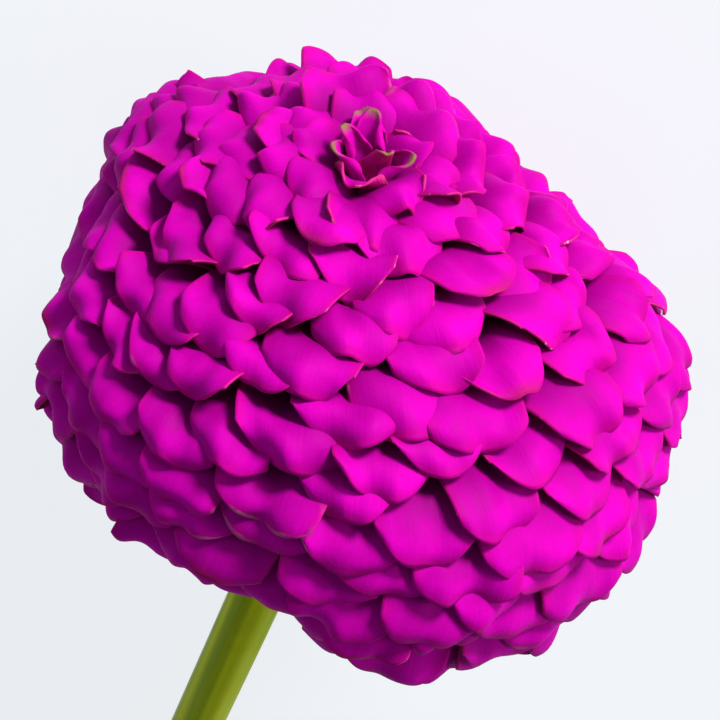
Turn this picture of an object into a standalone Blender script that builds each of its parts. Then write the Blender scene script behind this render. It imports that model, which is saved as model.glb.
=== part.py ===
"""A fully double zinnia flower, cut from its plant and lying on a flat surface.

Every piece is modelled upright round the flower's own axis: +Z runs from the stem up to the crown
of the head, and heights count from the joint of stem and head. An empty then lays the flower down,
so that the cut end of the stem and the petals at the rim of the head meet z = 0.
"""

import math

import bmesh
import bpy
from mathutils import Matrix, Vector

# The head, in metres
HEAD_RADIUS = 0.040
HEAD_RISE = 0.028
WIDEST_HEIGHT = 0.013
RIM_ANGLE = math.radians(125)
# The crown sits off the middle: it has slid over the dome, and the rim has stayed where it is
CROWN_SLIDE = math.radians(13)
SLIDE_TOWARDS = math.radians(57)
SLIDE_REACH = math.radians(85)
SLIDE_LEVEL = 0.47

# The conical receptacle that carries the petals
RECEPTACLE_RADIUS = 0.0085
RECEPTACLE_TOP_RADIUS = 0.0012
RECEPTACLE_FOOT = 0.009
RECEPTACLE_RISE = 0.017

# The petals
WHORLS = 16
PETALS_PER_WHORL = 13
PETALS = WHORLS * PETALS_PER_WHORL
GOLDEN_ANGLE = math.pi * (3 - math.sqrt(5))
CROWN_HALF_WIDTH = 0.0022
RIM_HALF_WIDTH = 0.0064
PETAL_THICKNESS = 0.0004
COLLAR_THICKNESS = 0.0008
COLLAR_COLUMNS = 2 * PETALS_PER_WHORL
# (share of the petal's length, share of its half width) from the claw to the rounded tip
PETAL_OUTLINE = (
    (0.15, 0.22),
    (0.40, 0.52),
    (0.62, 0.84),
    (0.79, 1.0),
    (0.90, 0.92),
    (0.97, 0.66),
    (1.0, 0.34),
)

# The stem
STEM_LENGTH = 0.115
STEM_RADIUS = 0.0032
STEM_SIDES = 20
STEM_STRAIGHT = 0.030
STEM_BEND = 0.0035
PITH_RADIUS = 0.0013
PITH_DEPTH = 0.006
CUT_SLANT = 0.35

# The cup of bracts under the head
CUP_FOOT_RADIUS = 0.0034
CUP_SWELL = 0.0050
CUP_HEIGHT = 0.0084
BRACT_THICKNESS = 0.0004
BRACT_LAYER = 0.0008
# (number of bracts, where the row starts and ends up the cup, its turn in bracts), inner row first
BRACT_ROWS = ((10, 0.35, 1.0, 0.0), (8, 0.15, 0.80, 0.25), (6, 0.0, 0.60, 0.5))
BRACT_OUTLINE = (0.62, 0.94, 0.97, 0.50)
BRACT_CELLS = 3

GAP = 0.0003

# How the flower lies: turned round its axis, then tipped over until the cut end of the stem and two
# petals at the rim share one plane
LYING_TURN = math.radians(111.27)
LYING_RISE = math.radians(14.863)

PETAL_COLOUR = (0.72, 0.004, 0.50, 1.0)
BRACT_COLOUR = (0.10, 0.15, 0.03, 1.0)
STEM_COLOUR = (0.16, 0.24, 0.03, 1.0)


def clear_scene():
    for obj in list(bpy.data.objects):
        bpy.data.objects.remove(obj)


def make_material(name, colour, roughness):
    material = bpy.data.materials.new(name)
    material.use_nodes = True
    shader = material.node_tree.nodes["Principled BSDF"]
    shader.inputs["Base Color"].default_value = colour
    shader.inputs["Roughness"].default_value = roughness
    shader.inputs["Metallic"].default_value = 0.0
    return material


def add_object(name, mesh, material, parent):
    obj = bpy.data.objects.new(name, mesh)
    bpy.context.scene.collection.objects.link(obj)
    obj.parent = parent
    if not mesh.materials:
        mesh.materials.append(material)
    return obj


def finish_mesh(bm, name):
    bmesh.ops.recalc_face_normals(bm, faces=bm.faces)
    mesh = bpy.data.meshes.new(name)
    bm.to_mesh(mesh)
    bm.free()
    mesh.shade_smooth()
    mesh.set_sharp_from_angle(angle=math.radians(50))
    return mesh


def around(radius, height, azimuth):
    """The point at this radius, height and angle round the flower's axis."""
    return Vector((radius * math.cos(azimuth), radius * math.sin(azimuth), height))


def petal_root(age):
    """Where a petal grows from the receptacle, as (radius, height). Age runs from 0, crown, to 1, rim."""
    spread = RECEPTACLE_RADIUS - RECEPTACLE_TOP_RADIUS
    return Vector(
        (
            RECEPTACLE_TOP_RADIUS + spread * math.sqrt(age),
            RECEPTACLE_FOOT + RECEPTACLE_RISE * (1 - age),
        )
    )


def petal_curve(age):
    """The petal's middle line in its own upright plane, as a function of the share of its length.

    The tip lies on the domed outline of the head. Petals at the crown stand up, and those further
    out arch over and hang down. No two of these curves cross.
    """
    angle = RIM_ANGLE * age**0.7
    root = petal_root(age)
    tip = Vector((HEAD_RADIUS * math.sin(angle), WIDEST_HEIGHT + HEAD_RISE * math.cos(angle)))
    chord = (tip - root).length
    rise = math.radians(12 + 68 * (1 - age) ** 2)
    along_dome = math.atan2(-HEAD_RISE * math.sin(angle), HEAD_RADIUS * math.cos(angle))
    fall = along_dome + math.radians(24 + 50 * (1 - age) ** 9)
    root_pull = chord * (0.33 + 0.12 * age) * Vector((math.cos(rise), math.sin(rise)))
    tip_pull = chord * (0.33 + 0.42 * age**2.5) * Vector((math.cos(fall), math.sin(fall)))
    handles = (root, root + root_pull, tip - tip_pull, tip)

    def at(share):
        rest = 1 - share
        weights = (rest**3, 3 * share * rest**2, 3 * share**2 * rest, share**3)
        return sum((w * h for w, h in zip(weights, handles)), Vector((0, 0)))

    return at


def petal_row(curve, share, half_width, azimuth):
    """The four corners of a petal's cross-section, by (side, level), each -1 or 1."""
    step = 0.01
    middle = curve(share)
    slope = (curve(share + step) - curve(share - step)).normalized()
    upward = Vector((-slope.y, slope.x))
    corners = {}
    for side in (-1, 1):
        for level in (-1, 1):
            radius, height = middle + upward * (level * PETAL_THICKNESS / 2)
            corners[side, level] = around(radius, height, azimuth + side * half_width / middle.x)
    return corners


def ease(share):
    share = min(max(share, 0.0), 1.0)
    return share * share * (3 - 2 * share)


def slide(point):
    """Moves a point of a petal with the crown, over the dome. The dome and the receptacle keep their shape."""
    radius, rise = HEAD_RADIUS, HEAD_RISE
    on_dome = Vector((point.x / radius, point.y / radius, (point.z - WIDEST_HEIGHT) / rise))
    outward = ease((on_dome.length - SLIDE_LEVEL) / (1 - SLIDE_LEVEL))
    crownward = 1 - ease(on_dome.angle(Vector((0, 0, 1))) / SLIDE_REACH)
    hinge = Vector((-math.sin(SLIDE_TOWARDS), math.cos(SLIDE_TOWARDS), 0))
    turned = Matrix.Rotation(CROWN_SLIDE * outward * crownward, 3, hinge) @ on_dome
    return Vector((turned.x * radius, turned.y * radius, turned.z * rise + WIDEST_HEIGHT))


def build_collar(oldest, youngest):
    """The ring of petal feet on the receptacle, turned from its cross-section."""
    bm = bmesh.new()
    foot, head = petal_root(oldest), petal_root(youngest)
    along = (head - foot).normalized()
    outward = Vector((along.y, -along.x)) * COLLAR_THICKNESS
    foot += along * GAP / 2
    head -= along * GAP / 2
    corners = (foot, foot + outward, head + outward, head)
    verts = [bm.verts.new(around(c.x, c.y, 0.0)) for c in corners]
    edges = [bm.edges.new((verts[k - 1], verts[k])) for k in range(len(verts))]
    bmesh.ops.spin(
        bm,
        geom=verts + edges,
        cent=(0, 0, 0),
        axis=(0, 0, 1),
        angle=2 * math.pi,
        steps=COLLAR_COLUMNS,
        use_merge=True,
    )
    bmesh.ops.recalc_face_normals(bm, faces=bm.faces)
    return bm


def outer_faces(bm):
    """The collar's outer wall faces, each with its angle round the axis."""
    found = []
    for face in bm.faces:
        centre = face.calc_center_median()
        outward = Vector((centre.x, centre.y, 0)).normalized()
        reach = max(abs(v.co.xy.length - centre.xy.length) for v in face.verts)
        if face.normal.dot(outward) > 0.6 and reach < COLLAR_THICKNESS:
            found.append((math.atan2(centre.y, centre.x), face))
    return found


def grow_petal(bm, foot_face, age, azimuth):
    """Extrudes one petal out of its foot, row by row, along its curve."""
    curve = petal_curve(age)
    widest = CROWN_HALF_WIDTH + (RIM_HALF_WIDTH - CROWN_HALF_WIDTH) * age**0.35
    centre = foot_face.calc_center_median()
    sideways = Vector((-centre.y, centre.x, 0))
    labels = []
    for vert in foot_face.verts:
        offset = vert.co - centre
        labels.append((math.copysign(1, offset.dot(sideways)), math.copysign(1, offset.z)))
    face = foot_face
    for share, width in PETAL_OUTLINE:
        corners = petal_row(curve, share, widest * width, azimuth)
        face = bmesh.ops.extrude_discrete_faces(bm, faces=[face])["faces"][0]
        for vert, label in zip(face.verts, labels):
            vert.co = slide(corners[label])


def build_whorl(number, material, parent):
    """One turn of petals joined at their feet. Whorl 1 is the crown and the last one is the rim."""
    first = (number - 1) * PETALS_PER_WHORL
    bm = build_collar((first + PETALS_PER_WHORL) / PETALS, first / PETALS)
    feet = outer_faces(bm)
    for index in range(first, first + PETALS_PER_WHORL):
        azimuth = math.remainder(index * GOLDEN_ANGLE, 2 * math.pi)
        nearest = min(feet, key=lambda foot: abs(math.remainder(foot[0] - azimuth, 2 * math.pi)))
        feet.remove(nearest)
        grow_petal(bm, nearest[1], (index + 0.5) / PETALS, azimuth)
    name = f"petal_whorl_{number:02d}"
    add_object(name, finish_mesh(bm, name), material, parent)


def cup_point(share, offset=0.0):
    """A point on the rounded cup under the head, as (radius, height), moved outwards by offset."""
    turn = share * math.pi / 2
    on_cup = Vector(
        (
            CUP_FOOT_RADIUS + CUP_SWELL * math.sin(turn),
            CUP_HEIGHT * (1 - math.cos(turn)),
        )
    )
    outward = Vector((CUP_HEIGHT * math.sin(turn), -CUP_SWELL * math.cos(turn))).normalized()
    return on_cup + outward * offset


def build_stem(material, parent):
    """The stem with the cup and the receptacle that it swells into, turned in one piece."""
    profile = [
        Vector((0.0, -STEM_LENGTH + PITH_DEPTH)),
        Vector((PITH_RADIUS, -STEM_LENGTH + PITH_DEPTH)),
        Vector((PITH_RADIUS, -STEM_LENGTH)),
        Vector((STEM_RADIUS, -STEM_LENGTH)),
    ]
    straight = 7
    for k in range(1, straight):
        height = -STEM_LENGTH * (1 - k / straight)
        profile.append(Vector((STEM_RADIUS, height)))
    cup_steps = 5
    profile += [cup_point(k / cup_steps) for k in range(cup_steps + 1)]
    for age in (1.0, 0.8, 0.6, 0.4, 0.2, 0.08, 0.0):
        profile.append(petal_root(age) - Vector((GAP, 0)))
    profile.append(Vector((0.0, RECEPTACLE_FOOT + RECEPTACLE_RISE + GAP)))

    bm = bmesh.new()
    verts = [bm.verts.new(around(p.x, p.y, 0.0)) for p in profile]
    edges = [bm.edges.new(pair) for pair in zip(verts, verts[1:])]
    bmesh.ops.spin(
        bm,
        geom=verts + edges,
        cent=(0, 0, 0),
        axis=(0, 0, 1),
        angle=2 * math.pi,
        steps=STEM_SIDES,
        use_merge=True,
    )
    bmesh.ops.remove_doubles(bm, verts=bm.verts, dist=GAP / 10)
    for vert in bm.verts:
        if vert.co.z < -STEM_LENGTH + GAP:
            vert.co.z += CUT_SLANT * vert.co.y
        below = max(0.0, -vert.co.z - STEM_STRAIGHT) / (STEM_LENGTH - STEM_STRAIGHT)
        vert.co.x += STEM_BEND * below**2
    add_object("stem", finish_mesh(bm, "stem"), material, parent)


def bract_lift(row, share):
    """How far a bract of this row stands off the cup, so that it passes over the rows inside it."""
    lift = GAP + BRACT_THICKNESS / 2
    for inner in range(row):
        start = BRACT_ROWS[inner + 1][1]
        full = BRACT_ROWS[inner][1]
        lift += BRACT_LAYER * min(1.0, max(0.0, (share - start) / (full - start)))
    return lift


def build_bracts(material, parent):
    """Three rows of scales round the cup. The bracts of a row share one mesh."""
    serial = 0
    for row, (count, start, end, turn) in enumerate(BRACT_ROWS):
        bm = bmesh.new()
        bmesh.ops.create_grid(bm, x_segments=BRACT_CELLS, y_segments=BRACT_CELLS, size=1.0)
        for vert in bm.verts:
            level = (vert.co.y + 1) / 2
            share = start + (end - start) * level
            half_angle = 0.46 * 2 * math.pi / count * BRACT_OUTLINE[round(level * BRACT_CELLS)]
            radius, height = cup_point(share, bract_lift(row, share))
            vert.co = around(radius, height, vert.co.x * half_angle)
        mesh = finish_mesh(bm, f"bract_row_{row + 1}")
        for place in range(count):
            serial += 1
            bract = add_object(f"bract_{serial:02d}", mesh, material, parent)
            bract.rotation_euler.z = (place + turn) * 2 * math.pi / count
            shell = bract.modifiers.new("thickness", "SOLIDIFY")
            shell.thickness = BRACT_THICKNESS
            shell.offset = 0.0


def lay_down(flower):
    """Tips the flower over, its axis along +Y, and moves it to stand centred on the surface z = 0."""
    tip_over = Matrix.Rotation(LYING_RISE - math.pi / 2, 4, "X")
    flower.matrix_world = tip_over @ Matrix.Rotation(LYING_TURN, 4, "Z")
    bpy.context.view_layer.update()
    points = [obj.matrix_world @ v.co for obj in flower.children for v in obj.data.vertices]
    low = Vector(min(p[axis] for p in points) for axis in range(3))
    high = Vector(max(p[axis] for p in points) for axis in range(3))
    centre = (low + high) / 2
    flower.matrix_world.translation = (-centre.x, -centre.y, -low.z)


def main():
    clear_scene()
    flower = bpy.data.objects.new("flower", None)
    bpy.context.scene.collection.objects.link(flower)
    build_stem(make_material("stem", STEM_COLOUR, 0.55), flower)
    build_bracts(make_material("bract", BRACT_COLOUR, 0.7), flower)
    petal = make_material("petal", PETAL_COLOUR, 0.6)
    for number in range(1, WHORLS + 1):
        build_whorl(number, petal, flower)
    lay_down(flower)


main()
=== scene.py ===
"""The finished look of a cut zinnia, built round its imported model: petals, bracts and stem.

The flower's own frame has its origin at the joint of stem and head, and +Z along the axis towards the
crown. Lengths in that frame are in millimetres, and the finished pieces are in metres.
"""

import math

import bpy
import numpy as np
from mathutils import Matrix, Vector, noise


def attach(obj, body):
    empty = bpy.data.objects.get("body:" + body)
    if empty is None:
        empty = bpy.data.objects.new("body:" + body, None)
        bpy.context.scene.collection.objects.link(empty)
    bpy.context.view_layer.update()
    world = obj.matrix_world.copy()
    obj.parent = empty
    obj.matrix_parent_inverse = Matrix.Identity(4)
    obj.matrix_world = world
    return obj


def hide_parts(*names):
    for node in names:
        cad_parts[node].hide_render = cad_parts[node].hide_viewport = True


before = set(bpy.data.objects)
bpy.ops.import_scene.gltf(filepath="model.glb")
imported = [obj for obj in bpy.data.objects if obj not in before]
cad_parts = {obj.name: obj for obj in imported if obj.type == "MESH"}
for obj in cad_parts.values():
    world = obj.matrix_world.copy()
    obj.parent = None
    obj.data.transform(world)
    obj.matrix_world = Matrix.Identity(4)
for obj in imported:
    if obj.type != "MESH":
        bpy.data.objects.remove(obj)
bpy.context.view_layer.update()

# The head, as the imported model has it, in millimetres
HEAD_RADIUS = 40.0
HEAD_RISE = 28.0
WIDEST_HEIGHT = 13.0
RIM_ANGLE = math.radians(125)
CROWN_SLIDE = math.radians(13)
SLIDE_TOWARDS = math.radians(57)
SLIDE_REACH = math.radians(85)
SLIDE_LEVEL = 0.47
ROOT_RADIUS = (1.2, 8.5)
ROOT_FOOT = 9.0
ROOT_RISE = 17.0
APEX_HEIGHT = 26.3
WHORLS = 16
PETALS_PER_WHORL = 18
PETALS = WHORLS * PETALS_PER_WHORL
GOLDEN_ANGLE = math.pi * (3 - math.sqrt(5))

# Where the head swells past its dome or falls short of it: (azimuth, angle from the axis, share, spread)
SWELLING = -0.096
LOBES = (
    (-53, 49, -0.14, 26),
    (-3, 45, -0.025, 24),
    (154, 122, -0.36, 17),
    (-92, 71, 0.06, 28),
    (44, 67, 0.05, 28),
    (63, 84, -0.03, 25),
    (92, 112, -0.05, 30),
    (-165, 128, -0.06, 18),
    (-108, 88, -0.03, 20),
    (57, 13, 0.06, 24),
)

# The blade that every petal is shaped from. CREST gives the pillow of the blade along its length.
BLADE_CELLS = 8
FINE = 5
PETAL_THICKNESS = 0.32
STACK_GAP = 0.70
MOST_STACKED = 4.0
CLAW_START = 0.05
BLADE_FROM = 0.25
LONGEST_BLADE = 15.5
WIDEST_HALF = 7.9
CREST = (18.3, -55.8, 33.2)
PILLOW_BEFORE_FOOT = 0.97
SMOOTHING = 2

# The bud at the crown: how far its petals stand above the dome, how they lean, and which have rolled
BUD_AGE = 0.032
ROLLED = (4, 9)
BUD_RISE = 2.6
BUD_LEAN = 56
BUD_SHRINK = 0.7

# Petals beyond the crown, as seen from above, stand up
BEYOND_TURN = math.radians(165)


# ---------------------------------------------------------------- the flower's frame


def points_of(node):
    return np.array([v.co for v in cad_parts[node].data.vertices], float)


def find_flower_frame():
    """Reads the axis from the stem and the inner row of bracts. The first bract gives angle zero."""
    row = [points_of(f"bract_{k:02d}") for k in range(1, 11)]
    foot = np.mean([bract.mean(axis=0) for bract in row], axis=0)
    stem = points_of("stem")
    rough = foot - stem.mean(axis=0)
    apex = stem[np.argmax(stem @ rough)]
    axis = Vector(apex - foot).normalized()
    joint = Vector(apex) - axis * APEX_HEIGHT / 1000
    first = Vector(row[0].mean(axis=0) - foot)
    east = (first - axis * first.dot(axis)).normalized()
    turned = Matrix((east, axis.cross(east), axis)).transposed().to_4x4()
    return Matrix.Translation(joint) @ turned


FLOWER = find_flower_frame()
AXIS = FLOWER.to_3x3() @ Vector((0, 0, 1))
SKY = FLOWER.to_3x3().inverted() @ Vector((0, 0, 1))
SKY_AZIMUTH = math.atan2(SKY.y, SKY.x)


def to_world(points):
    """Points of the flower's frame in millimetres, as world coordinates in metres."""
    matrix = np.array(FLOWER)
    return points / 1000 @ matrix[:3, :3].T + matrix[:3, 3]


# ---------------------------------------------------------------- how a petal is shaped


def ease(low, high, value):
    """Rises smoothly from 0, where the value is low, to 1, where it is high. Low may be the larger one."""
    x = np.clip((np.asarray(value, float) - low) / (high - low), 0, 1)
    return x * x * (3 - 2 * x)


def tip_angle(age):
    """How far round the dome a petal's tip lies, from the crown."""
    return RIM_ANGLE * age**0.7


def petal_root(age):
    """Where a petal grows from the receptacle, as (radius, height)."""
    return np.array((ROOT_RADIUS[0] + (ROOT_RADIUS[1] - ROOT_RADIUS[0]) * math.sqrt(age),
                     ROOT_FOOT + ROOT_RISE * (1 - age)))


def root_rise(age):
    """How steeply a petal leaves the receptacle."""
    return math.radians(12 + 68 * (1 - age) ** 2)


DOME_STEPS = np.radians(np.linspace(-20, 150, 681))
DOME_LINE = np.stack((HEAD_RADIUS * np.sin(DOME_STEPS),
                      WIDEST_HEIGHT + HEAD_RISE * np.cos(DOME_STEPS)), axis=1)
DOME_ARC = np.concatenate(([0.0], np.cumsum(np.linalg.norm(np.diff(DOME_LINE, axis=0), axis=1))))
DOME_ARC -= np.interp(0.0, DOME_STEPS, DOME_ARC)


def over_dome(arc, height):
    """The point at this distance from the crown along the dome, and this height above it."""
    psi = np.interp(arc, DOME_ARC, DOME_STEPS)
    radius = HEAD_RADIUS * np.sin(psi)
    level = WIDEST_HEIGHT + HEAD_RISE * np.cos(psi)
    normal = np.stack((HEAD_RISE * np.sin(psi), HEAD_RADIUS * np.cos(psi)), axis=-1)
    normal /= np.linalg.norm(normal, axis=-1, keepdims=True)
    return np.stack((radius, level), axis=-1) + normal * np.asarray(height)[..., None]


def bezier(handles, share):
    """Points along a curve drawn with four handles."""
    s = np.asarray(share)[..., None]
    r = 1 - s
    a, b, c, d = handles
    return r**3 * a + 3 * s * r**2 * b + 3 * s**2 * r * c + s**3 * d


def young_line(age, share):
    """The middle line of a petal at the crown, which stands up in a tight bud with the others."""
    psi = tip_angle(age) * BUD_SHRINK
    root = petal_root(age)
    tip = over_dome(np.interp(psi, DOME_STEPS, DOME_ARC), BUD_RISE)
    chord = np.linalg.norm(tip - root)
    rise = root_rise(age)
    fall = math.atan2(-HEAD_RISE * math.sin(psi), HEAD_RADIUS * math.cos(psi))
    fall += math.radians(BUD_LEAN)
    near = root + chord * 0.34 * np.array((math.cos(rise), math.sin(rise)))
    far = tip - chord * 0.33 * np.array((math.cos(fall), math.sin(fall)))
    return bezier((root, near, far, tip), share)


def blade_height(share):
    """The pillow of a blade over the dome, in mm. Share runs from 0, at its tip, to 1, at its foot."""
    return CREST[0] * share + CREST[1] * share**2 + CREST[2] * share**3


def outline(along):
    """Half the width of a petal, as a share of the widest, from its claw to its tip."""
    return np.interp(along, (0, 0.13, 0.25, 0.38, 0.5, 0.63, 0.75, 0.88, 1.0),
                     (0.30, 0.46, 0.70, 0.86, 0.96, 1.02, 1.04, 1.0, 0.80))


class Petal:
    """One petal's place and its own habits of growth."""

    def __init__(self, index, rng):
        draw = rng.random(32)
        spread = draw * 2 - 1
        self.index = index
        self.age = (index + 0.5) / PETALS
        self.azimuth = index * GOLDEN_ANGLE + math.radians(3.5) * spread[0]
        self.young = float(1 - ease(0.012, 0.055, self.age))
        self.half_width = min(WIDEST_HALF, 3.3 + 6.2 * self.age**0.35) * (1 + 0.12 * spread[1])
        self.half_width *= 1 - 0.25 * self.young
        self.tip_arc = float(np.interp(tip_angle(self.age), DOME_STEPS, DOME_ARC)) + 1.3 * spread[2]
        self.blade = min(LONGEST_BLADE, 3.2 + 0.85 * self.tip_arc) * (1 + 0.08 * spread[3])
        self.crest = 1 + 0.3 * spread[4]
        self.rounding = 0.20 + 0.08 * spread[5] + 0.10 * self.young
        self.notch = 0.06 * max(0.0, spread[6])
        self.sweep = 1.7 * spread[7]
        self.tilt = 1.2 * spread[8]
        self.camber = 1.7 + 0.7 * spread[9]
        self.wave = 0.8 + 1.4 * draw[10]
        self.wave_beat = 2.3 + 1.6 * draw[11]
        self.wave_phase = 2 * math.pi * draw[12]
        self.dent = 0.5 * draw[13]
        self.dent_place = 0.6 * spread[14]
        self.corner = np.zeros(2)
        if draw[15] < 0.52:
            self.corner[int(draw[16] < 0.5)] = 1.3 + 2.4 * draw[17]
        self.flare = 0.0
        if draw[18] < 0.09:
            self.flare = 1.8 + 2.0 * draw[19]
        self.cup = self.young * (1.3 + 1.1 * draw[20])
        self.grow_for_place(draw)

    def grow_for_place(self, draw):
        """Petals just beyond the crown, as seen from above, stand up instead of lying down."""
        around = math.remainder(self.azimuth - SKY_AZIMUTH - BEYOND_TURN, 2 * math.pi)
        beyond = float(ease(1.3, 0.6, abs(around)))
        near_crown = float(ease(0.02, 0.08, self.age) * (1 - ease(0.20, 0.42, self.age)))
        self.stand = beyond * near_crown * (3.0 + 4.5 * draw[21])
        self.wave += 0.9 * beyond * near_crown
        self.half_width *= 1 + 0.15 * beyond * near_crown


def blade_line(petal, share):
    """One point of a blade's middle line over the dome, before it waves or is stacked."""
    height = blade_height(share) * petal.blade / LONGEST_BLADE
    return over_dome(petal.tip_arc - petal.blade * share, height)


def petal_points(petal, side, along, stack):
    """Points of a petal's upper face, in the flower's frame. Side runs -1..1, along 0..1, claw to tip."""
    edge = np.abs(side)
    t = np.clip((along - BLADE_FROM) / (1 - BLADE_FROM), 0, 1)
    q = (1 - t) ** 1.25
    corner = petal.rounding * edge**2.4 + petal.notch * np.exp(-((side / 0.22) ** 2))
    q = q + corner * ease(0.0, 1.0, t)
    height = blade_height(q) * petal.crest * petal.blade / LONGEST_BLADE
    tipness = ease(0.45, 0.0, q)
    blade_part = ease(0.9, 0.45, q)
    height = height - petal.camber * edge**2.2 * blade_part
    turn = np.arctan2(side, 0.55 - q)
    margin = np.clip(np.maximum(edge**3, tipness**2), 0, 1) * blade_part
    height = height + petal.wave * margin * np.sin(petal.wave_beat * turn + petal.wave_phase)
    height = height + petal.tilt * side * blade_part
    height = height - petal.dent * np.exp(-(((side - petal.dent_place) / 0.35) ** 2)) * blade_part * 2
    which = (side > 0).astype(int)
    height = height + petal.corner[which] * ease(0.35, 1.0, edge) * ease(0.75, 0.15, q)
    height = height + petal.flare * ease(0.30, 0.0, q) + petal.stand * ease(0.6, 0.0, q)
    height = height + stack

    arc = petal.tip_arc - q * petal.blade - petal.stand * 0.35 * ease(0.6, 0.0, q)
    line = over_dome(arc, height)
    foot = blade_line(petal, 1.0)
    ahead = blade_line(petal, PILLOW_BEFORE_FOOT)
    towards = (ahead - foot) / np.linalg.norm(ahead - foot)
    root = petal_root(petal.age)
    chord = np.linalg.norm(foot - root)
    rise = root_rise(petal.age)
    near = root + chord * 0.36 * np.array((math.cos(rise), math.sin(rise)))
    claw = bezier((root, near, foot - towards * chord * 0.36, foot),
                  CLAW_START + (1 - CLAW_START) * along / BLADE_FROM)
    line = np.where((along < BLADE_FROM)[..., None], claw, line)
    if petal.young > 0:
        upright = young_line(petal.age, 0.12 + 0.88 * (along - 0.8 * corner * ease(0.3, 1.0, along)))
        line = line + (upright - line) * petal.young
        outward = (line - np.array((0, WIDEST_HEIGHT))) / np.array((HEAD_RADIUS**2, HEAD_RISE**2))
        outward /= np.linalg.norm(outward, axis=-1, keepdims=True)
        line = line + outward * (petal.young * stack)[..., None]

    half = petal.half_width * outline(along) * (1 - 0.45 * petal.young * ease(0.66, 1.0, along))
    sideways = half * side
    if petal.cup > 0:
        turn = petal.cup * side * ease(0.2, 0.7, along)
        safe = np.where(np.abs(turn) < 1e-3, 1e-3, turn)
        sideways = half * side * np.sin(safe) / safe
        lift = half * side * (1 - np.cos(safe)) / safe
        line = line + np.stack((-lift * 0.8, lift * 0.6), axis=-1)
    sideways = sideways + petal.sweep * (1 - q) * ease(0.0, 1.0, t)
    return wrap(line, sideways, petal.azimuth)


def wrap(line, sideways, azimuth):
    """Lays points beside a petal's middle line over the dome, at the level of the middle line."""
    radius = line[..., 0]
    lift = line[..., 1] - WIDEST_HEIGHT
    level = np.hypot(radius / HEAD_RADIUS, lift / HEAD_RISE)
    wider = np.hypot(np.hypot(radius, sideways) / HEAD_RADIUS, lift / HEAD_RISE)
    keep = level / np.maximum(wider, 1e-6)
    x = radius * keep
    y = sideways * keep
    z = WIDEST_HEIGHT + lift * keep
    cos, sin = math.cos(azimuth), math.sin(azimuth)
    return np.stack((x * cos - y * sin, x * sin + y * cos, z), axis=-1)


# ---------------------------------------------------------------- how the petals lie on each other

MAP_CELLS = 360
MAP_REACH = 2.45
DOME_DEPTH = 34.0


def dome_place(points):
    """Where points lie over the dome of the head: (row, column, height above the dome in mm)."""
    radius = np.hypot(points[..., 0], points[..., 1])
    across = radius / HEAD_RADIUS
    upward = (points[..., 2] - WIDEST_HEIGHT) / HEAD_RISE
    psi = np.arctan2(across, upward)
    safe = np.maximum(radius, 1e-9)
    cells = MAP_CELLS / 2 / MAP_REACH
    row = (MAP_CELLS / 2 + psi * points[..., 0] / safe * cells).astype(int)
    column = (MAP_CELLS / 2 + psi * points[..., 1] / safe * cells).astype(int)
    height = (np.hypot(across, upward) - 1) * DOME_DEPTH
    return row.clip(0, MAP_CELLS - 1), column.clip(0, MAP_CELLS - 1), height


def spread_highest(grid, reach):
    """Gives each cell the highest value within reach of it."""
    for axis in (0, 1):
        grid = np.max([np.roll(grid, k, axis) for k in range(-reach, reach + 1)], axis=0)
    return grid


def blur(grid, reach):
    """Evens a grid out, each cell with those within reach of it."""
    for axis in (0, 1):
        padded = np.pad(grid, [(reach, reach) if a == axis else (0, 0) for a in (0, 1)], "edge")
        total = sum(np.roll(padded, k, axis) for k in range(-reach, reach + 1)) / (2 * reach + 1)
        grid = np.take(total, range(reach, reach + grid.shape[axis]), axis)
    return grid


def stack_petals(petals):
    """Lays the petals on each other from the rim to the crown, and returns each one's lift in mm."""
    fine = np.linspace(0, 1, BLADE_CELLS * FINE + 1)
    along, side = np.meshgrid(fine, fine * 2 - 1, indexing="ij")
    top = np.full((MAP_CELLS, MAP_CELLS), -1e3)
    lifts = {}
    for petal in sorted(petals, key=lambda p: -p.age):
        lift = np.zeros((BLADE_CELLS + 1, BLADE_CELLS + 1))
        if petal.young < 1:
            points = petal_points(petal, side, along, np.zeros_like(side))
            row, column, height = dome_place(points)
            need = np.maximum(0, top[row, column] + STACK_GAP - height)
            need = np.minimum(need * ease(0.35, 0.55, along), MOST_STACKED)
            need = spread_highest(np.pad(need, 3, "edge"), 2)[3:-3, 3:-3]
            need = blur(need, 2)
            lift = need[::FINE, ::FINE]
            points = petal_points(petal, side, along, need)
            row, column, height = dome_place(points)
            own = np.full_like(top, -1e3)
            upper = along > 0.4
            np.maximum.at(own, (row[upper], column[upper]), height[upper])
            top = np.maximum(top, spread_highest(own, 1))
        lifts[petal.index] = lift
    return lifts


def slide(points):
    """Moves the crown over the dome to where it sits off the middle. The rim stays."""
    scale = np.array((HEAD_RADIUS, HEAD_RADIUS, HEAD_RISE))
    middle = np.array((0, 0, WIDEST_HEIGHT))
    on_dome = (points - middle) / scale
    level = np.linalg.norm(on_dome, axis=-1)
    from_crown = np.arccos(np.clip(on_dome[..., 2] / level, -1, 1))
    angle = CROWN_SLIDE * ease(SLIDE_LEVEL, 1, level) * (1 - ease(0, SLIDE_REACH, from_crown))
    towards = np.array((math.cos(SLIDE_TOWARDS), math.sin(SLIDE_TOWARDS), 0))
    forward = on_dome @ towards
    aside = on_dome - forward[..., None] * towards
    up = aside[..., 2].copy()
    aside[..., 2] = 0
    moved = forward * np.cos(angle) + up * np.sin(angle)
    risen = up * np.cos(angle) - forward * np.sin(angle)
    turned = aside + moved[..., None] * towards + risen[..., None] * np.array((0, 0, 1))
    return turned * scale + middle


# ---------------------------------------------------------------- modelling by hand


def start_fresh():
    """Leaves edit mode and deselects everything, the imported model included."""
    if bpy.context.mode != "OBJECT":
        bpy.ops.object.mode_set(mode="OBJECT")
    bpy.ops.object.select_all(action="DESELECT")


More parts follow.
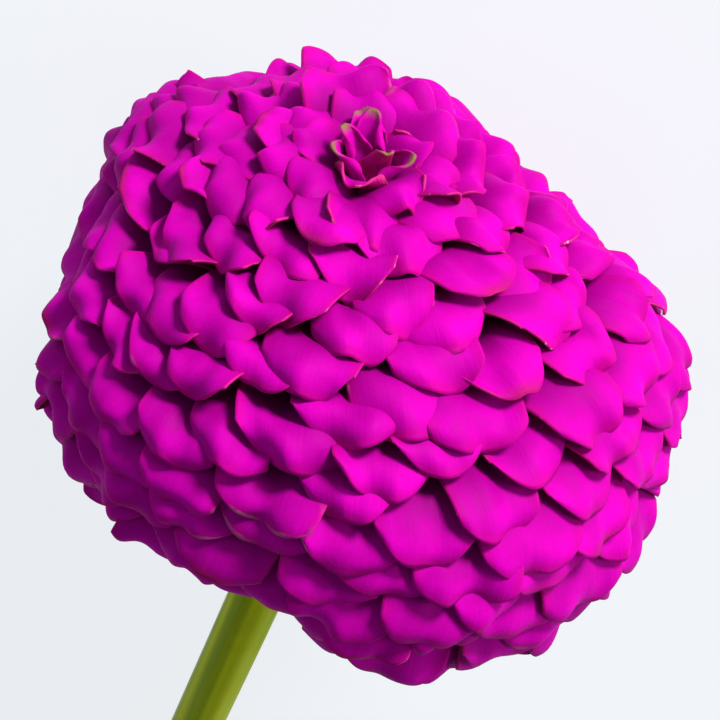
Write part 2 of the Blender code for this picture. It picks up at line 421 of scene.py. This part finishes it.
def edit(obj):
    bpy.context.view_layer.objects.active = obj
    obj.select_set(True)
    bpy.ops.object.mode_set(mode="EDIT")
    bpy.ops.mesh.select_all(action="DESELECT")
    bpy.ops.mesh.select_mode(type="VERT")


def done_editing():
    bpy.ops.mesh.select_all(action="DESELECT")
    bpy.ops.object.mode_set(mode="OBJECT")


def select_vertices(obj, chosen):
    """Selects the vertices whose place passes the test. Works from edit mode and returns to it."""
    bpy.ops.object.mode_set(mode="OBJECT")
    for vert in obj.data.vertices:
        vert.select = bool(chosen(vert.co))
    bpy.ops.object.mode_set(mode="EDIT")


def model_blade(name, cells):
    """A petal's blade laid flat: a sheet drawn in at the claw and rounded at the tip."""
    start_fresh()
    bpy.ops.mesh.primitive_grid_add(x_subdivisions=cells, y_subdivisions=cells, size=2)
    blade = bpy.context.object
    blade.name = name
    edit(blade)
    for k in range(cells + 1):
        level = 2 * k / cells - 1
        select_vertices(blade, lambda co: abs(co.y - level) < 0.5 / cells)
        width = float(outline(k / cells))
        bpy.ops.transform.resize(value=(width, 1, 1), center_override=(0, level, 0))
    done_editing()
    blade.data.shade_smooth()
    return blade


def copy_piece(master, name, points):
    """A copy of the master with a mesh of its own, its vertices moved to these world points."""
    mesh = master.data.copy()
    mesh.name = name
    mesh.vertices.foreach_set("co", np.asarray(points, np.float32).ravel())
    mesh.update()
    piece = bpy.data.objects.new(name, mesh)
    bpy.context.scene.collection.objects.link(piece)
    return piece


def smooth_out(piece):
    smooth = piece.modifiers.new("smooth", "SUBSURF")
    smooth.levels = SMOOTHING
    smooth.render_levels = SMOOTHING


def thicken(piece, thickness):
    """Rounds a sheet off and gives it a wall below its face, with finishes for face, underside and edge."""
    smooth_out(piece)
    wall = piece.modifiers.new("wall", "SOLIDIFY")
    wall.thickness = thickness / 1000
    wall.offset = -1
    wall.material_offset = 1
    wall.material_offset_rim = 2


PRESSED_BELOW = 0.008
SWAY_WIDTH = 26.0
SWAY_REACH = 1.8
SWAY_FROM = (Vector((3.1, 7.7, 1.3)), Vector((15.4, 2.9, 8.6)), Vector((6.2, 19.5, 12.8)))


def settle(world):
    """Lets what reaches the surface rest on it: the lowest few millimetres are pressed into z >= 0."""
    lowest = min(points[:, 2].min() for points in world.values())
    for points in world.values():
        z = points[:, 2]
        low = z < PRESSED_BELOW
        z[low] = PRESSED_BELOW * (z[low] - lowest) / (PRESSED_BELOW - lowest)


def swell(points):
    """Gives the head its uneven outline."""
    scale = np.array((HEAD_RADIUS, HEAD_RADIUS, HEAD_RISE))
    middle = np.array((0, 0, WIDEST_HEIGHT))
    arm = points - middle
    level = np.linalg.norm(arm / scale, axis=-1)
    heading = arm / np.linalg.norm(arm, axis=-1, keepdims=True)
    share = np.full(len(points), SWELLING)
    for azimuth, polar, amount, spread in LOBES:
        turn, tip = math.radians(azimuth), math.radians(polar)
        centre = np.array((math.sin(tip) * math.cos(turn), math.sin(tip) * math.sin(turn), math.cos(tip)))
        off = np.degrees(np.arccos(np.clip(heading @ centre, -1, 1)))
        share += amount * np.exp(-((off / spread) ** 2))
    return middle + arm * (1 + share * ease(0.35, 1.0, level))[:, None]


def sway(points):
    """The uneven growth of a whole head: a slow drift of everything in it."""
    moved = points.copy()
    for k, point in enumerate(points):
        drift = [noise.noise(Vector(point) / SWAY_WIDTH + start) for start in SWAY_FROM]
        moved[k] += np.array(drift) * SWAY_REACH
    return moved


# ---------------------------------------------------------------- finishes


def new_group(name, inputs, outputs):
    group = bpy.data.node_groups.new(name, "ShaderNodeTree")
    for kind, label, value in inputs:
        socket = group.interface.new_socket(label, in_out="INPUT", socket_type=kind)
        if value is not None:
            socket.default_value = value
    for kind, label in outputs:
        group.interface.new_socket(label, in_out="OUTPUT", socket_type=kind)
    return group


class Nodes:
    """Short ways to add nodes to a tree and to link them."""

    def __init__(self, tree):
        self.tree = tree

    def add(self, kind, **settings):
        node = self.tree.nodes.new(kind)
        for key, value in settings.items():
            setattr(node, key, value)
        return node

    def plug(self, socket, value):
        if isinstance(value, bpy.types.NodeSocket):
            self.tree.links.new(value, socket)
        else:
            socket.default_value = value

    def math(self, operation, *values):
        node = self.add("ShaderNodeMath", operation=operation)
        for socket, value in zip(node.inputs, values):
            self.plug(socket, value)
        return node.outputs[0]

    def noise(self, vector, scale, detail=2.0, roughness=0.5):
        node = self.add("ShaderNodeTexNoise")
        self.plug(node.inputs["Vector"], vector)
        self.plug(node.inputs["Scale"], scale)
        node.inputs["Detail"].default_value = detail
        node.inputs["Roughness"].default_value = roughness
        return node.outputs["Fac"]

    def stretch(self, vector, scale):
        node = self.add("ShaderNodeMapping")
        self.plug(node.inputs["Vector"], vector)
        node.inputs["Scale"].default_value = scale
        return node.outputs["Vector"]

    def span(self, value, low, high, to_low=0.0, to_high=1.0):
        node = self.add("ShaderNodeMapRange", interpolation_type="SMOOTHSTEP")
        for socket, given in zip(node.inputs, (value, low, high, to_low, to_high)):
            self.plug(socket, given)
        return node.outputs[0]

    def mix(self, fac, first, second):
        node = self.add("ShaderNodeMix", data_type="RGBA")
        self.plug(node.inputs[0], fac)
        self.plug(node.inputs[6], first)
        self.plug(node.inputs[7], second)
        return node.outputs[2]

    def split(self, vector):
        node = self.add("ShaderNodeSeparateXYZ")
        self.plug(node.inputs[0], vector)
        return node.outputs

    def bump(self, height, strength, distance):
        node = self.add("ShaderNodeBump")
        node.inputs["Strength"].default_value = strength
        node.inputs["Distance"].default_value = distance
        self.plug(node.inputs["Height"], height)
        return node.outputs["Normal"]

    def use(self, group, **values):
        node = self.add("ShaderNodeGroup", node_tree=group)
        for label, value in values.items():
            self.plug(node.inputs[label.replace("_", " ")], value)
        return node.outputs


def ends(group):
    """The tree of a shared effect, with the sockets it is given and the ones it fills."""
    nodes = Nodes(group)
    given = nodes.add("NodeGroupInput").outputs
    result = nodes.add("NodeGroupOutput").inputs
    return nodes, given, result


def make_velvet():
    """The bloom of tiny cells on a petal, and its slow mottling. Object coordinates."""
    inputs = (("NodeSocketVector", "Place", None), ("NodeSocketFloat", "Cells", 4500.0))
    outputs = (("NodeSocketFloat", "Height"), ("NodeSocketFloat", "Mottle"))
    group = new_group("velvet cells", inputs, outputs)
    nodes, given, result = ends(group)
    cells = nodes.noise(given["Place"], given["Cells"], 1.0)
    grain = nodes.noise(given["Place"], 1400.0, 2.0, 0.6)
    height = nodes.math("ADD", nodes.math("MULTIPLY", cells, 0.6), nodes.math("MULTIPLY", grain, 0.4))
    nodes.plug(result["Height"], height)
    nodes.plug(result["Mottle"], nodes.noise(given["Place"], 140.0, 3.0, 0.55))
    return group


def make_veins():
    """Fine ribs that run along a blade. UV coordinates, V from claw to tip."""
    inputs = (("NodeSocketVector", "Place", None),)
    group = new_group("blade veins", inputs, (("NodeSocketFloat", "Vein"),))
    nodes, given, result = ends(group)
    fine = nodes.noise(nodes.stretch(given["Place"], (34.0, 1.6, 1.0)), 1.0, 2.0)
    broad = nodes.noise(nodes.stretch(given["Place"], (11.0, 0.8, 1.0)), 1.0, 1.0)
    both = nodes.math("ADD", nodes.math("MULTIPLY", fine, 0.6), nodes.math("MULTIPLY", broad, 0.4))
    nodes.plug(result["Vein"], nodes.span(both, 0.35, 0.65))
    return group


def make_margin():
    """Closeness to the margin of a blade, and the ragged part of it that is worn. UV and object place."""
    inputs = (("NodeSocketVector", "Blade", None), ("NodeSocketVector", "Place", None))
    outputs = tuple(("NodeSocketFloat", label) for label in ("Near", "Worn", "Along", "Tip"))
    group = new_group("blade margin", inputs, outputs)
    nodes, given, result = ends(group)
    u, v, _ = nodes.split(given["Blade"])
    side = nodes.math("MULTIPLY", nodes.math("ABSOLUTE", nodes.math("SUBTRACT", u, 0.5)), 2.0)
    side = nodes.math("SUBTRACT", 1.0, side)
    tip = nodes.math("MULTIPLY", nodes.math("SUBTRACT", 1.0, v), 2.2)
    least = nodes.math("MINIMUM", side, tip)
    frayed = nodes.math("ADD", least, nodes.span(nodes.noise(given["Place"], 900.0, 3.0), 0, 1, -0.06, 0.06))
    nodes.plug(result["Near"], nodes.span(frayed, 0.02, 0.30, 1.0, 0.0))
    patch = nodes.span(nodes.noise(given["Place"], 75.0, 2.0), 0.64, 0.72)
    thin = nodes.span(frayed, 0.03, 0.11, 1.0, 0.0)
    nodes.plug(result["Worn"], nodes.math("MULTIPLY", patch, thin))
    nodes.plug(result["Along"], v)
    nodes.plug(result["Tip"], nodes.math("MULTIPLY", nodes.span(side, 0.35, 0.85), nodes.span(v, 0.9, 1.0)))
    return group


def new_finish(name, roughness, specular):
    """A new material, with its nodes, its shader and its texture coordinates."""
    material = bpy.data.materials.new(name)
    material.use_nodes = True
    nodes = Nodes(material.node_tree)
    shader = material.node_tree.nodes["Principled BSDF"]
    shader.inputs["Roughness"].default_value = roughness
    shader.inputs["Specular IOR Level"].default_value = specular
    coordinates = nodes.add("ShaderNodeTexCoord").outputs
    return material, nodes, shader, coordinates


velvet = make_velvet()
veins = make_veins()
margin = make_margin()


def make_petal_face(name, light, shade_and_vein, tip_colour):
    """The upper face of a petal: velvety, finely ribbed and worn at the edge, with painted shade that deepens
    it towards the claw, under the petals that overlap it, and a painted crimson margin that stands in for
    light shining through the thin lifted edge and the shade along it.
    """
    material, nodes, shader, where = new_finish(name, 0.6, 0.02)
    skin = nodes.use(velvet, Place=where["Object"])
    rib = nodes.use(veins, Place=where["UV"])["Vein"]
    border = nodes.use(margin, Blade=where["UV"], Place=where["Object"])
    # Painted shade: the face darkens to its dark wine colour towards the claw, where the petals above overlap
    # and shade it; the mottle adds the petal's own uneven tone.
    tone = nodes.span(skin["Mottle"], 0.35, 0.68)
    tone = nodes.math("MULTIPLY", nodes.math("ADD", nodes.math("MULTIPLY", tone, 0.4), 0.6),
                      nodes.span(border["Along"], 0.46, 0.90))
    colour = nodes.mix(tone, shade_and_vein, light)
    colour = nodes.mix(nodes.math("MULTIPLY", rib, 0.08), colour, shade_and_vein)
    # Painted light and shade: a crimson band along the margin stands in for light shining through the thin
    # lifted edge and the shade along it.
    colour = nodes.mix(nodes.math("MULTIPLY", border["Near"], 0.45), colour, (0.36, 0.001, 0.13, 1))
    colour = nodes.mix(border["Tip"], colour, tip_colour)
    colour = nodes.mix(nodes.math("MULTIPLY", border["Worn"], 0.6), colour, (0.58, 0.22, 0.26, 1))
    nodes.plug(shader.inputs["Base Color"], colour)
    nodes.plug(shader.inputs["Roughness"], nodes.span(skin["Mottle"], 0.3, 0.7, 0.52, 0.68))
    height = nodes.math("ADD", skin["Height"], nodes.math("MULTIPLY", rib, 0.35))
    nodes.plug(shader.inputs["Normal"], nodes.bump(height, 0.35, 0.00012))
    shader.inputs["Sheen Weight"].default_value = 0.015
    shader.inputs["Sheen Roughness"].default_value = 0.45
    shader.inputs["Sheen Tint"].default_value = (1.0, 0.2, 0.9, 1)
    return material


def make_petal_back(name, tip_colour):
    """The crimson underside of a petal, with its ribs standing out."""
    material, nodes, shader, where = new_finish(name, 0.65, 0.1)
    skin = nodes.use(velvet, Place=where["Object"])
    rib = nodes.use(veins, Place=where["UV"])["Vein"]
    border = nodes.use(margin, Blade=where["UV"], Place=where["Object"])
    colour = nodes.mix(nodes.span(skin["Mottle"], 0.3, 0.7), (0.38, 0.0, 0.15, 1), (0.52, 0.0, 0.24, 1))
    colour = nodes.mix(nodes.math("MULTIPLY", rib, 0.35), colour, (0.40, 0.005, 0.13, 1))
    colour = nodes.mix(nodes.math("MULTIPLY", border["Near"], 0.5), colour, (0.38, 0.03, 0.08, 1))
    colour = nodes.mix(border["Tip"], colour, tip_colour)
    nodes.plug(shader.inputs["Base Color"], colour)
    height = nodes.math("ADD", skin["Height"], nodes.math("MULTIPLY", rib, 1.6))
    nodes.plug(shader.inputs["Normal"], nodes.bump(height, 0.5, 0.00015))
    return material


def make_petal_rim():
    """The cut-thin edge of a petal, mostly magenta with dry pale flecks."""
    material, nodes, shader, where = new_finish("petal_edge", 0.6, 0.2)
    flecks = nodes.span(nodes.noise(where["Object"], 900.0, 2.0), 0.58, 0.66)
    patches = nodes.span(nodes.noise(where["Object"], 60.0, 2.0), 0.50, 0.70)
    fleck = nodes.math("MULTIPLY", flecks, patches)
    colour = nodes.mix(fleck, (0.45, 0.004, 0.17, 1), (0.72, 0.32, 0.32, 1))
    nodes.plug(shader.inputs["Base Color"], colour)
    nodes.plug(shader.inputs["Normal"], nodes.bump(flecks, 0.4, 0.0001))
    return material


def make_green(name, light, dark, edge):
    """Fresh green tissue with fine ribs along it, and a margin of its own colour."""
    material, nodes, shader, where = new_finish(name, 0.6, 0.12)
    skin = nodes.use(velvet, Place=where["Object"])
    rib = nodes.use(veins, Place=where["UV"])["Vein"]
    border = nodes.use(margin, Blade=where["UV"], Place=where["Object"])
    colour = nodes.mix(nodes.span(skin["Mottle"], 0.3, 0.7), dark, light)
    colour = nodes.mix(nodes.math("MULTIPLY", rib, 0.4), colour, dark)
    colour = nodes.mix(border["Near"], colour, edge)
    nodes.plug(shader.inputs["Base Color"], colour)
    height = nodes.math("ADD", skin["Height"], nodes.math("MULTIPLY", rib, 1.5))
    nodes.plug(shader.inputs["Normal"], nodes.bump(height, 0.5, 0.00015))
    return material


# The dark wine given to each petal face below is painted shade: the face deepens to it towards the claw, and
# its veins darken towards it.
MAGENTA = (0.52, 0.0, 0.36, 1)
SHADE_WINE = (0.20, 0.0, 0.13, 1)
petal_face = make_petal_face("petal_magenta", MAGENTA, SHADE_WINE, (0.42, 0.0008, 0.22, 1))
young_face = make_petal_face("petal_young", MAGENTA, (0.30, 0.001, 0.19, 1), (0.19, 0.12, 0.04, 1))
dry_face = make_petal_face("petal_dry_tip", MAGENTA, SHADE_WINE, (0.34, 0.006, 0.12, 1))
petal_back = make_petal_back("petal_underside", (0.36, 0.01, 0.09, 1))
dry_back = make_petal_back("petal_dry_underside", (0.20, 0.035, 0.02, 1))
petal_rim = make_petal_rim()
bract_face = make_green("bract_scale", (0.17, 0.24, 0.02, 1), (0.08, 0.12, 0.008, 1), (0.035, 0.02, 0.008, 1))


STEM_DEEP = (0.20, 0.30, 0.0, 1)
STEM_LIGHT = (0.43, 0.51, 0.0, 1)


def make_stem_skin():
    """The stem: fresh yellow-green, with lighter streaks along it and short pale hairs."""
    material, nodes, shader, where = new_finish("stem_skin", 0.5, 0.08)
    turned = nodes.add("ShaderNodeMapping")
    nodes.plug(turned.inputs["Vector"], where["Object"])
    turned.inputs["Rotation"].default_value = (-math.asin(AXIS.z), 0, 0)
    lengthwise = turned.outputs["Vector"]
    streaks = nodes.noise(nodes.stretch(lengthwise, (800.0, 14.0, 800.0)), 1.0, 2.0)
    bands = nodes.noise(nodes.stretch(lengthwise, (330.0, 5.0, 330.0)), 1.0, 1.0)
    blotch = nodes.noise(where["Object"], 110.0, 3.0)
    hairs = nodes.noise(where["Object"], 2600.0, 1.0)
    colour = nodes.mix(nodes.span(bands, 0.42, 0.62), STEM_DEEP, STEM_LIGHT)
    pale = nodes.span(streaks, 0.4, 0.7, 0.0, 0.3)
    colour = nodes.mix(pale, colour, (0.48, 0.56, 0.0, 1))
    olive = nodes.span(blotch, 0.5, 0.75, 0.0, 0.3)
    colour = nodes.mix(olive, colour, (0.24, 0.22, 0.0, 1))
    downy = nodes.span(hairs, 0.66, 0.74, 0.0, 0.2)
    colour = nodes.mix(downy, colour, (0.36, 0.40, 0.12, 1))
    nodes.plug(shader.inputs["Base Color"], colour)
    nodes.plug(shader.inputs["Roughness"], nodes.span(blotch, 0.3, 0.7, 0.42, 0.60))
    height = nodes.math("ADD", streaks, nodes.math("MULTIPLY", hairs, 0.3))
    nodes.plug(shader.inputs["Normal"], nodes.bump(height, 0.4, 0.0002))
    return material


def make_stem_pith():
    """The cut end: pale wet tissue with brown blotches."""
    material, nodes, shader, where = new_finish("stem_pith", 0.4, 0.4)
    cells = nodes.noise(where["Object"], 1800.0, 2.0)
    blotch = nodes.noise(where["Object"], 400.0, 2.0)
    colour = nodes.mix(nodes.span(cells, 0.4, 0.6), (0.30, 0.33, 0.13, 1), (0.46, 0.47, 0.26, 1))
    brown = nodes.span(blotch, 0.5, 0.7, 0.0, 0.6)
    colour = nodes.mix(brown, colour, (0.22, 0.14, 0.05, 1))
    nodes.plug(shader.inputs["Base Color"], colour)
    nodes.plug(shader.inputs["Normal"], nodes.bump(cells, 0.5, 0.0002))
    return material


stem_skin = make_stem_skin()
stem_pith = make_stem_pith()


# ---------------------------------------------------------------- the petals


def whorl_of(index):
    return f"petal_whorl_{index // PETALS_PER_WHORL + 1:02d}"


def build_petals():
    rng = np.random.default_rng(11)
    petals = [Petal(index, rng) for index in range(PETALS)]
    lifts = stack_petals(petals)
    blade = model_blade("blade", BLADE_CELLS)
    count = len(blade.data.vertices)
    flat = np.empty(count * 3)
    blade.data.vertices.foreach_get("co", flat)
    flat = flat.reshape(-1, 3)
    along = (flat[:, 1] + 1) / 2
    side = -flat[:, 0] / outline(along)
    rows = np.rint(along * BLADE_CELLS).astype(int)
    columns = np.rint((side + 1) / 2 * BLADE_CELLS).astype(int)
    world = {}
    for petal in petals:
        points = petal_points(petal, side, along, lifts[petal.index][rows, columns])
        world[petal.index] = to_world(sway(swell(slide(points))))
    settle(world)
    for petal in petals:
        piece = copy_piece(blade, f"petal_{petal.index + 1:03d}", world[petal.index])
        finishes = (petal_face, petal_back, petal_rim)
        if petal.flare > 0:
            finishes = (dry_face, dry_back, petal_rim)
        if petal.age < BUD_AGE:
            finishes = (young_face, petal_back if petal.index in ROLLED else young_face, young_face)
        for material in finishes:
            piece.data.materials.append(material)
        thicken(piece, PETAL_THICKNESS)
        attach(piece, "root")
        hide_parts(whorl_of(petal.index))
    bpy.data.objects.remove(blade)


build_petals()


# ---------------------------------------------------------------- the stem and the bracts

STEM_LENGTH = 115.0
STEM_RADIUS = 3.2
STEM_STRAIGHT = 30.0
STEM_BEND = 3.5
STEM_SIDES = 24
NECK_SWELL = 0.5
PITH_RADIUS = 1.3
PITH_DEPTH = 6.0
CUT_SLANT = 0.35
CUP_FOOT_RADIUS = 3.4
CUP_SWELL = 5.0
CUP_HEIGHT = 8.4
# Each row of bracts: how many, where they start and end on the cup, and the turn of the row in steps
BRACT_ROWS = ((10, 0.35, 1.0, 0.0), (8, 0.15, 0.80, 0.25), (6, 0.0, 0.60, 0.5))
BRACT_LAYER = 0.8
BRACT_CELLS = 6
BRACT_THICKNESS = 0.38


def cup_point(share, offset=0.0):
    """A point on the rounded cup under the head, as (radius, height), moved outwards by offset."""
    turn = np.asarray(share) * math.pi / 2
    outward = np.stack((CUP_HEIGHT * np.sin(turn), -CUP_SWELL * np.cos(turn)), axis=-1)
    outward /= np.linalg.norm(outward, axis=-1, keepdims=True)
    place = np.stack((CUP_FOOT_RADIUS + CUP_SWELL * np.sin(turn), CUP_HEIGHT * (1 - np.cos(turn))), axis=-1)
    return place + outward * np.asarray(offset)[..., None]


def stem_rings():
    """Radius and height of the rings that the stem is drawn out through, from the pith to the receptacle."""
    rings = [(radius, -STEM_LENGTH) for radius in (PITH_RADIUS, STEM_RADIUS - 0.5, STEM_RADIUS - 0.08)]
    rings += [(STEM_RADIUS, height) for height in np.linspace(-STEM_LENGTH + 0.5, -4.0, 26)]
    rings += [tuple(cup_point(share)) for share in (0.0, 0.2, 0.4, 0.6, 0.8, 1.0)]
    rings += [tuple(petal_root(age) - np.array((0.3, 0.0))) for age in (1.0, 0.75, 0.5, 0.25, 0.08)]
    return rings


def build_stem():
    """Drawn out ring by ring from the rim of the pith, then given its ribs, its bend and its slanted cut."""
    rings = stem_rings()
    start_fresh()
    bpy.ops.mesh.primitive_circle_add(vertices=STEM_SIDES, radius=rings[0][0], location=(0, 0, rings[0][1]))
    stem = bpy.context.object
    stem.name = "stem_skin"
    bpy.ops.object.transform_apply(location=True)
    edit(stem)
    bpy.ops.mesh.select_all(action="SELECT")
    for (radius, height), (wider, higher) in zip(rings, rings[1:]):
        bpy.ops.mesh.extrude_region_move(TRANSFORM_OT_translate={"value": (0, 0, higher - height)})
        grow = wider / radius
        bpy.ops.transform.resize(value=(grow, grow, 1), center_override=(0, 0, higher))
    bpy.ops.mesh.extrude_region_move(TRANSFORM_OT_translate={"value": (0, 0, 1.2)})
    bpy.ops.mesh.merge(type="CENTER")
    select_vertices(stem, lambda co: co.z < -STEM_LENGTH + 0.01 and co.xy.length < PITH_RADIUS + 0.01)
    bpy.ops.mesh.extrude_region_move(TRANSFORM_OT_translate={"value": (0, 0, PITH_DEPTH * 0.4)})
    bpy.ops.mesh.extrude_region_move(TRANSFORM_OT_translate={"value": (0, 0, PITH_DEPTH * 0.6)})
    bpy.ops.mesh.merge(type="CENTER")
    bpy.ops.mesh.select_all(action="SELECT")
    bpy.ops.mesh.normals_make_consistent(inside=False)
    done_editing()
    points = np.array([vert.co for vert in stem.data.vertices])
    turn = np.arctan2(points[:, 1], points[:, 0])
    radius = np.hypot(points[:, 0], points[:, 1])
    on_skin = (radius > PITH_RADIUS + 0.1) & (points[:, 2] < 0.0)
    rib = 0.09 * np.cos(8 * turn + 0.02 * points[:, 2]) + 0.05 * np.cos(3 * turn + 0.07 * points[:, 2])
    rib += 0.10 * np.sin(points[:, 2] / 13.0) + NECK_SWELL * ease(-70.0, -14.0, points[:, 2])
    keep = 1 + np.where(on_skin, rib / np.maximum(radius, 1.0), 0.0)
    points[:, :2] *= keep[:, None]
    at_cut = ease(-STEM_LENGTH + 9.0, -STEM_LENGTH, points[:, 2])
    points[:, 2] += CUT_SLANT * points[:, 1] * at_cut
    below = np.maximum(0.0, -points[:, 2] - STEM_STRAIGHT) / (STEM_LENGTH - STEM_STRAIGHT)
    points[:, 0] += STEM_BEND * below**2
    stem.data.vertices.foreach_set("co", to_world(points).astype(np.float32).ravel())
    stem.data.update()
    stem.data.shade_smooth()
    stem.data.materials.append(stem_skin)
    stem.data.materials.append(stem_pith)
    for face in stem.data.polygons:
        ring = np.mean([rings_of_cut(v, points) for v in face.vertices])
        face.material_index = int(ring > 0.5)
    smooth_out(stem)
    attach(stem, "root")
    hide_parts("stem")


def rings_of_cut(vertex, points):
    """Whether a vertex of the stem lies on its cut face or in the pith."""
    x, y, z = points[vertex]
    inside = math.hypot(x - STEM_BEND, y) < STEM_RADIUS - 0.3
    return float(inside and z < -STEM_LENGTH + PITH_DEPTH + 2.0)


def bract_lift(row, share):
    """How far a bract of this row stands off the cup, so that it passes over the rows inside it."""
    lift = np.full_like(share, 0.55)
    for inner in range(row):
        start = BRACT_ROWS[inner + 1][1]
        full = BRACT_ROWS[inner][1]
        lift += BRACT_LAYER * np.clip((share - start) / (full - start), 0, 1)
    return lift


def build_bracts():
    """Three rows of rounded scales round the cup, each with a dark fringe at its tip."""
    rng = np.random.default_rng(5)
    blade = model_blade("scale", BRACT_CELLS)
    flat = np.array([vert.co for vert in blade.data.vertices])
    along = (flat[:, 1] + 1) / 2
    side = flat[:, 0] / outline(along)
    serial = 0
    for row, (count, start, end, turn) in enumerate(BRACT_ROWS):
        for place in range(count):
            serial += 1
            draw = rng.random(6) * 2 - 1
            half_angle = 0.50 * 2 * math.pi / count * (1 + 0.06 * draw[0])
            reach = 1 - (0.16 + 0.03 * draw[1]) * np.abs(side) ** 2.2 * ease(0.3, 1.0, along)
            share = start + (end - start) * along * reach
            width = np.interp(along, (0, 0.25, 0.5, 0.75, 1.0), (0.62, 0.84, 0.96, 0.94, 0.62))
            lift = bract_lift(row, share) + 0.10 * draw[2] - 0.22 * side**2
            lift += 0.18 * np.sin(5 * side + 3 * draw[3]) * ease(0.6, 1.0, along)
            line = cup_point(share, lift)
            azimuth = (place + turn) * 2 * math.pi / count + side * half_angle * width + 0.03 * draw[4]
            radius, height = line[:, 0], line[:, 1]
            points = np.stack((radius * np.cos(azimuth), radius * np.sin(azimuth), height), axis=1)
            piece = copy_piece(blade, f"bract_scale_{serial:02d}", to_world(points))
            piece.data.flip_normals()
            for _ in range(3):
                piece.data.materials.append(bract_face)
            thicken(piece, BRACT_THICKNESS)
            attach(piece, "root")
            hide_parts(f"bract_{serial:02d}")
    bpy.data.objects.remove(blade)


build_stem()
build_bracts()


# ---------------------------------------------------------------- stage, light and camera


VIEW_FROM_AXIS = math.radians(45.5)
VIEW_LEAN = math.radians(24.2)
VIEW_DISTANCE = 0.42
VIEW_LENS = 177
HEAD_MIDDLE = FLOWER @ Vector((0, 0, 0.0145))
AIM_ABOVE = 0.0005


def view_basis():
    """The camera's right, up and backward directions, set by how the head is seen."""
    sky = Vector((0, 0, 1))
    hinge = AXIS.cross(sky).normalized()
    back = Matrix.Rotation(VIEW_FROM_AXIS, 3, hinge) @ AXIS
    along = (AXIS - back * AXIS.dot(back)).normalized()
    across = along.cross(back)
    lean = VIEW_LEAN
    up = along * math.cos(lean) - across * math.sin(lean)
    right = along * math.sin(lean) + across * math.cos(lean)
    return right, up, back


RIGHT, UP, BACK = view_basis()


def add_camera():
    """A long lens, square on to the view that the head is best known by."""
    camera = bpy.data.cameras.new("camera")
    camera.lens = VIEW_LENS
    camera.sensor_width = 36
    camera.clip_start = 0.01
    holder = bpy.data.objects.new("camera", camera)
    bpy.context.scene.collection.objects.link(holder)
    aim = HEAD_MIDDLE + UP * AIM_ABOVE
    turned = Matrix((RIGHT, UP, BACK)).transposed().to_4x4()
    holder.matrix_world = Matrix.Translation(aim + BACK * VIEW_DISTANCE) @ turned
    bpy.context.scene.camera = holder


def add_lamp(name, direction, distance, size, power, colour):
    """A round soft lamp that faces the middle of the head."""
    lamp = bpy.data.lights.new(name, "AREA")
    lamp.shape = "DISK"
    lamp.size = size
    lamp.energy = power
    lamp.color = colour
    holder = bpy.data.objects.new(name, lamp)
    bpy.context.scene.collection.objects.link(holder)
    towards = direction.normalized()
    turned = towards.to_track_quat("Z", "Y").to_matrix().to_4x4()
    holder.matrix_world = Matrix.Translation(HEAD_MIDDLE + towards * distance) @ turned


def add_floor():
    """A pale floor, partly lit from itself so that it stays even and pale behind the flower."""
    start_fresh()
    bpy.ops.mesh.primitive_plane_add(size=4)
    floor = bpy.context.object
    floor.name = "floor"
    material, nodes, shader, where = new_finish("pale_floor", 0.8, 0.2)
    tone = nodes.noise(where["Object"], 40.0, 3.0)
    nodes.plug(shader.inputs["Base Color"], nodes.mix(tone, (0.20, 0.205, 0.22, 1), (0.22, 0.225, 0.24, 1)))
    shader.inputs["Emission Color"].default_value = (0.93, 0.96, 1.0, 1)
    shader.inputs["Emission Strength"].default_value = 0.79
    floor.data.materials.append(material)


add_floor()
add_camera()
WARM_WHITE = (1.0, 0.97, 0.95)
COOL_WHITE = (0.80, 0.86, 1.0)
add_lamp("key", RIGHT * 0.62 + UP * 0.60 + BACK * 0.68, 1.4, 0.42, 33, WARM_WHITE)
add_lamp("side", RIGHT - UP * 0.15 + BACK * 0.45, 1.1, 0.35, 5, WARM_WHITE)
add_lamp("fill", RIGHT * -0.9 + UP * 0.25 + BACK * 0.6, 1.1, 0.8, 1.5, COOL_WHITE)

world = bpy.data.worlds.new("studio")
world.use_nodes = True
world.node_tree.nodes["Background"].inputs["Color"].default_value = (0.90, 0.94, 1.0, 1)
world.node_tree.nodes["Background"].inputs["Strength"].default_value = 0.26
bpy.context.scene.world = world
bpy.context.scene.view_settings.view_transform = "Standard"
